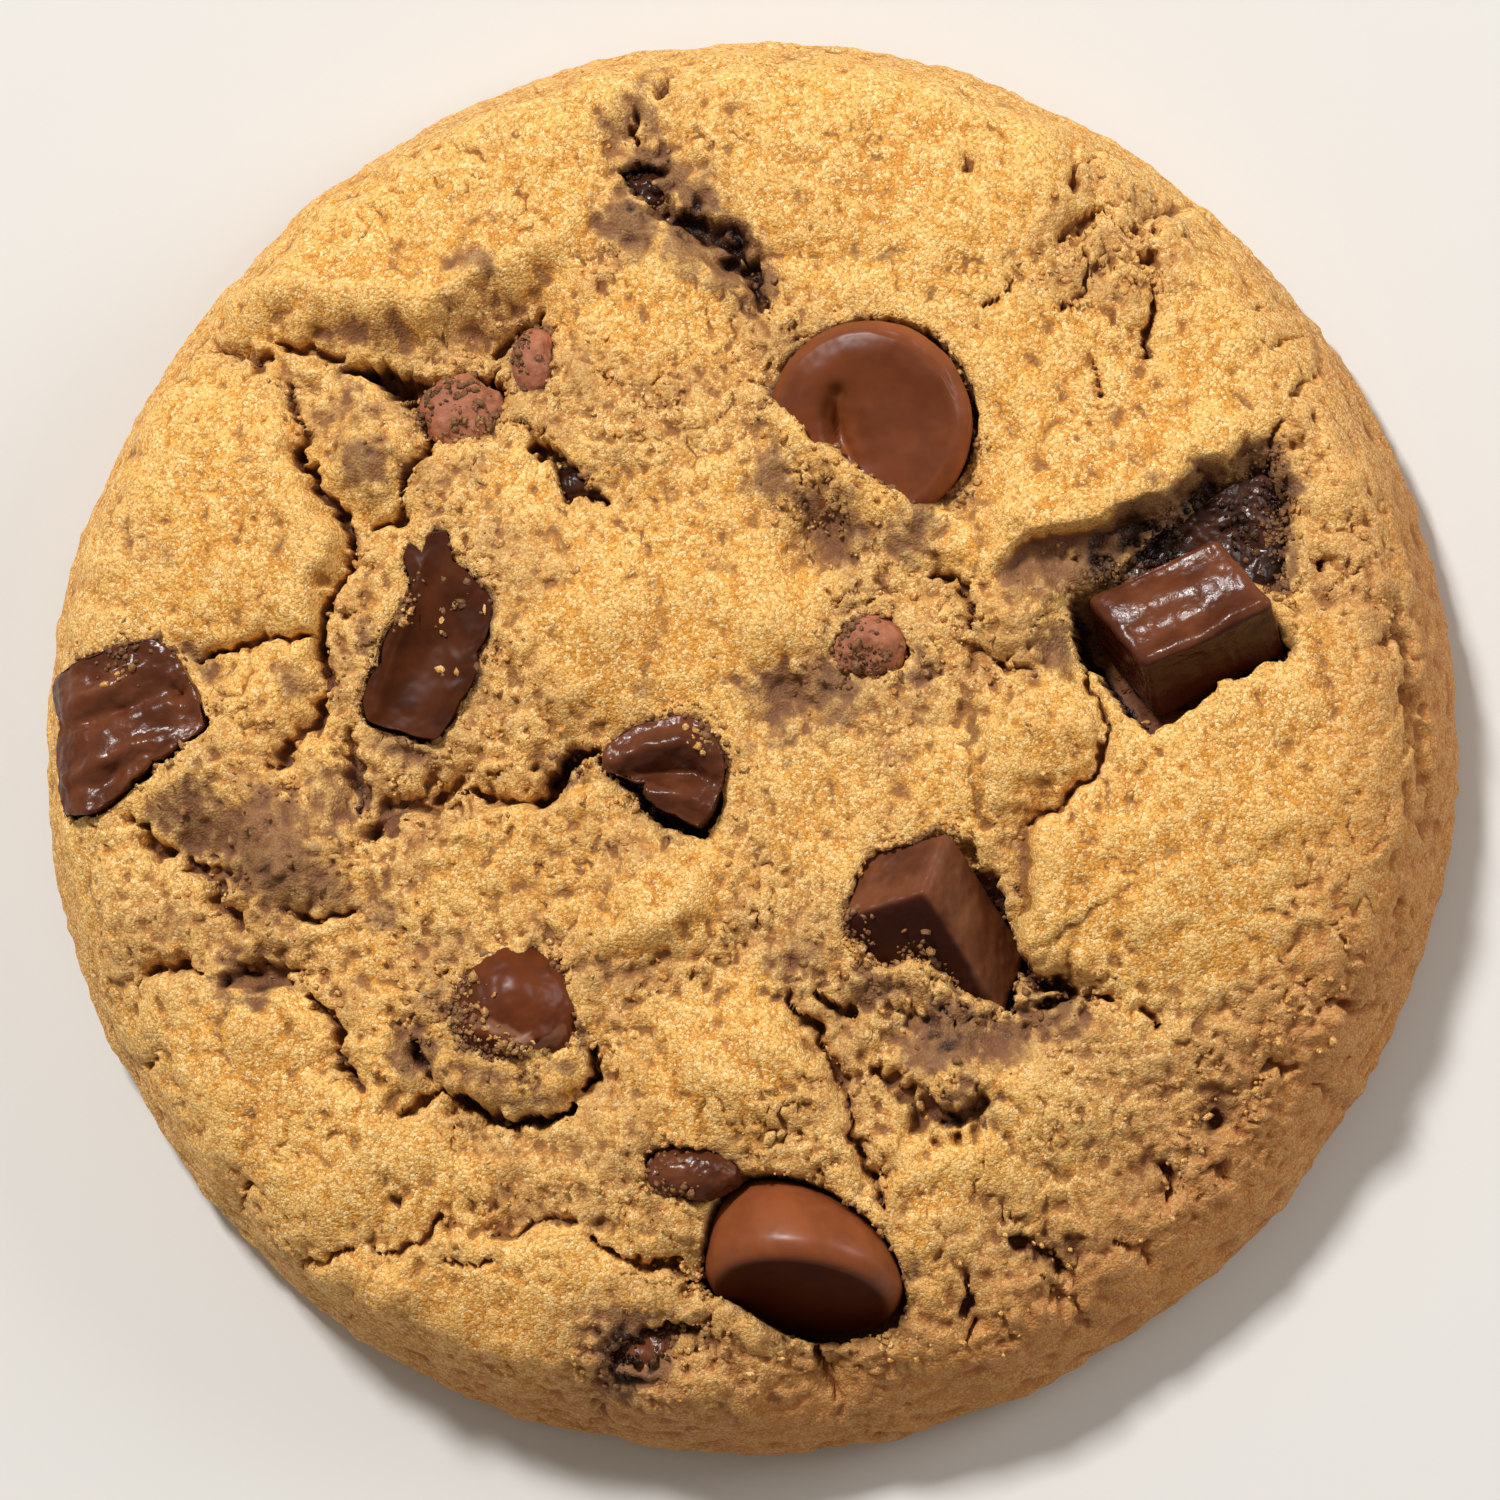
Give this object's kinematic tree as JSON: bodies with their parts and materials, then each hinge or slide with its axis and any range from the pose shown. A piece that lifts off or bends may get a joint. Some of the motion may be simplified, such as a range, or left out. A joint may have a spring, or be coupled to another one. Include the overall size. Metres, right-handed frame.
{
  "type": "chocolate chip cookie",
  "caption": "Thick soft round cookie of golden dough with a cracked, craggy top, set with drop chips and cut chunks of melting chocolate, to be served as food.",
  "frame": {"origin": "middle of the flat underside that the cookie lies on", "axes": "+Z up out of the cracked top, which is the thin way through; +X to the right and +Y up in the view from above"},
  "size_m": [0.076, 0.076, 0.0145],
  "materials": {
    "baked_dough": "matte, grainy, golden crust over paler crumb, brown and moist in the cracks",
    "chocolate": "milk and dark chocolate, satin on the whole chips, glossy where it melted"
  },
  "bodies": {
    "root": {"cookie_dough": "baked_dough", "chunk_right": "chocolate", "chunk_lower": "chocolate", "chunk_left": "chocolate", "chunk_mid_left": "chocolate", "chunk_centre": "chocolate", "melt_right": "chocolate", "chip_top": "chocolate", "chip_bottom": "chocolate", "chip_lower_left": "chocolate", "chip_buried_upper": "chocolate", "chip_buried_oval": "chocolate", "chip_buried_centre": "chocolate", "chip_curl_bottom": "chocolate", "bit_crevice_top": "chocolate", "bit_crevice_upper": "chocolate", "bit_crevice_bottom": "chocolate"}
  },
  "joints": []
}
